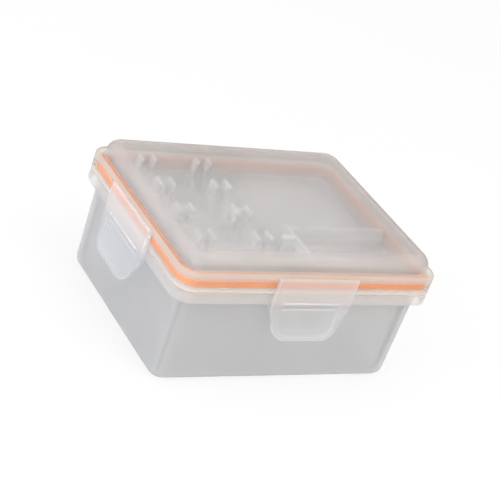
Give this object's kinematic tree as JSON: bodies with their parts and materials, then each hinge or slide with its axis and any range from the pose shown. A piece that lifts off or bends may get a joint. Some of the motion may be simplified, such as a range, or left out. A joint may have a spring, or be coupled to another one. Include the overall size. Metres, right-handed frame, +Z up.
{
  "type": "battery case",
  "caption": "Frosted snap-lock battery case: tub, stepped lid with hinged side latches, soft seal and a lift-out clip tray for AA and AAA cells.",
  "frame": {"origin": "middle of the flat underside, on the surface the case stands on", "axes": "+X to the right along the long walls, -Y out of the front long wall, +Z up"},
  "size_m": [0.124, 0.1004, 0.0574],
  "materials": {
    "tub_plastic": "frosted translucent polypropylene, satin",
    "lid_plastic": "frosted translucent polypropylene, satin",
    "tray_plastic": "frosted translucent polypropylene, satin",
    "latch_plastic": "frosted translucent polypropylene, satin",
    "seal_silicone": "orange silicone, satin"
  },
  "bodies": {
    "tub": {"tub": "tub_plastic"},
    "lid": {"lid": "lid_plastic", "seal": "seal_silicone"},
    "tray": {"tray": "tray_plastic"},
    "latch_front": {"latch_front": "latch_plastic"},
    "latch_right": {"latch_right": "latch_plastic"},
    "latch_back": {"latch_back": "latch_plastic"},
    "latch_left": {"latch_left": "latch_plastic"}
  },
  "joints": [
    {"name": "lid_lift", "type": "slide", "parent": "tub", "child": "lid", "axis": [0, 0, 1], "range_m": [0, 0.02]},
    {"name": "tray_lift", "type": "slide", "parent": "tub", "child": "tray", "axis": [0, 0, 1], "range_m": [0, 0.01]},
    {"name": "latch_front_hinge", "type": "hinge", "parent": "lid", "child": "latch_front", "pos_m": [0, -0.0473, 0.05], "axis": [-1, 0, 0], "range_deg": [0, 150]},
    {"name": "latch_right_hinge", "type": "hinge", "parent": "lid", "child": "latch_right", "pos_m": [0.0591, 0, 0.05], "axis": [0, -1, 0], "range_deg": [0, 150]},
    {"name": "latch_back_hinge", "type": "hinge", "parent": "lid", "child": "latch_back", "pos_m": [0, 0.0473, 0.05], "axis": [1, 0, 0], "range_deg": [0, 150]},
    {"name": "latch_left_hinge", "type": "hinge", "parent": "lid", "child": "latch_left", "pos_m": [-0.0591, 0, 0.05], "axis": [0, 1, 0], "range_deg": [0, 150]}
  ],
  "couplings": [
    {"joint": "tray_lift", "follows": "lid_lift", "ratio": 0.5},
    {"joint": "latch_front_hinge", "follows": "lid_lift", "rad_per_m": 130},
    {"joint": "latch_right_hinge", "follows": "lid_lift", "rad_per_m": 130},
    {"joint": "latch_back_hinge", "follows": "lid_lift", "rad_per_m": 130},
    {"joint": "latch_left_hinge", "follows": "lid_lift", "rad_per_m": 130}
  ]
}
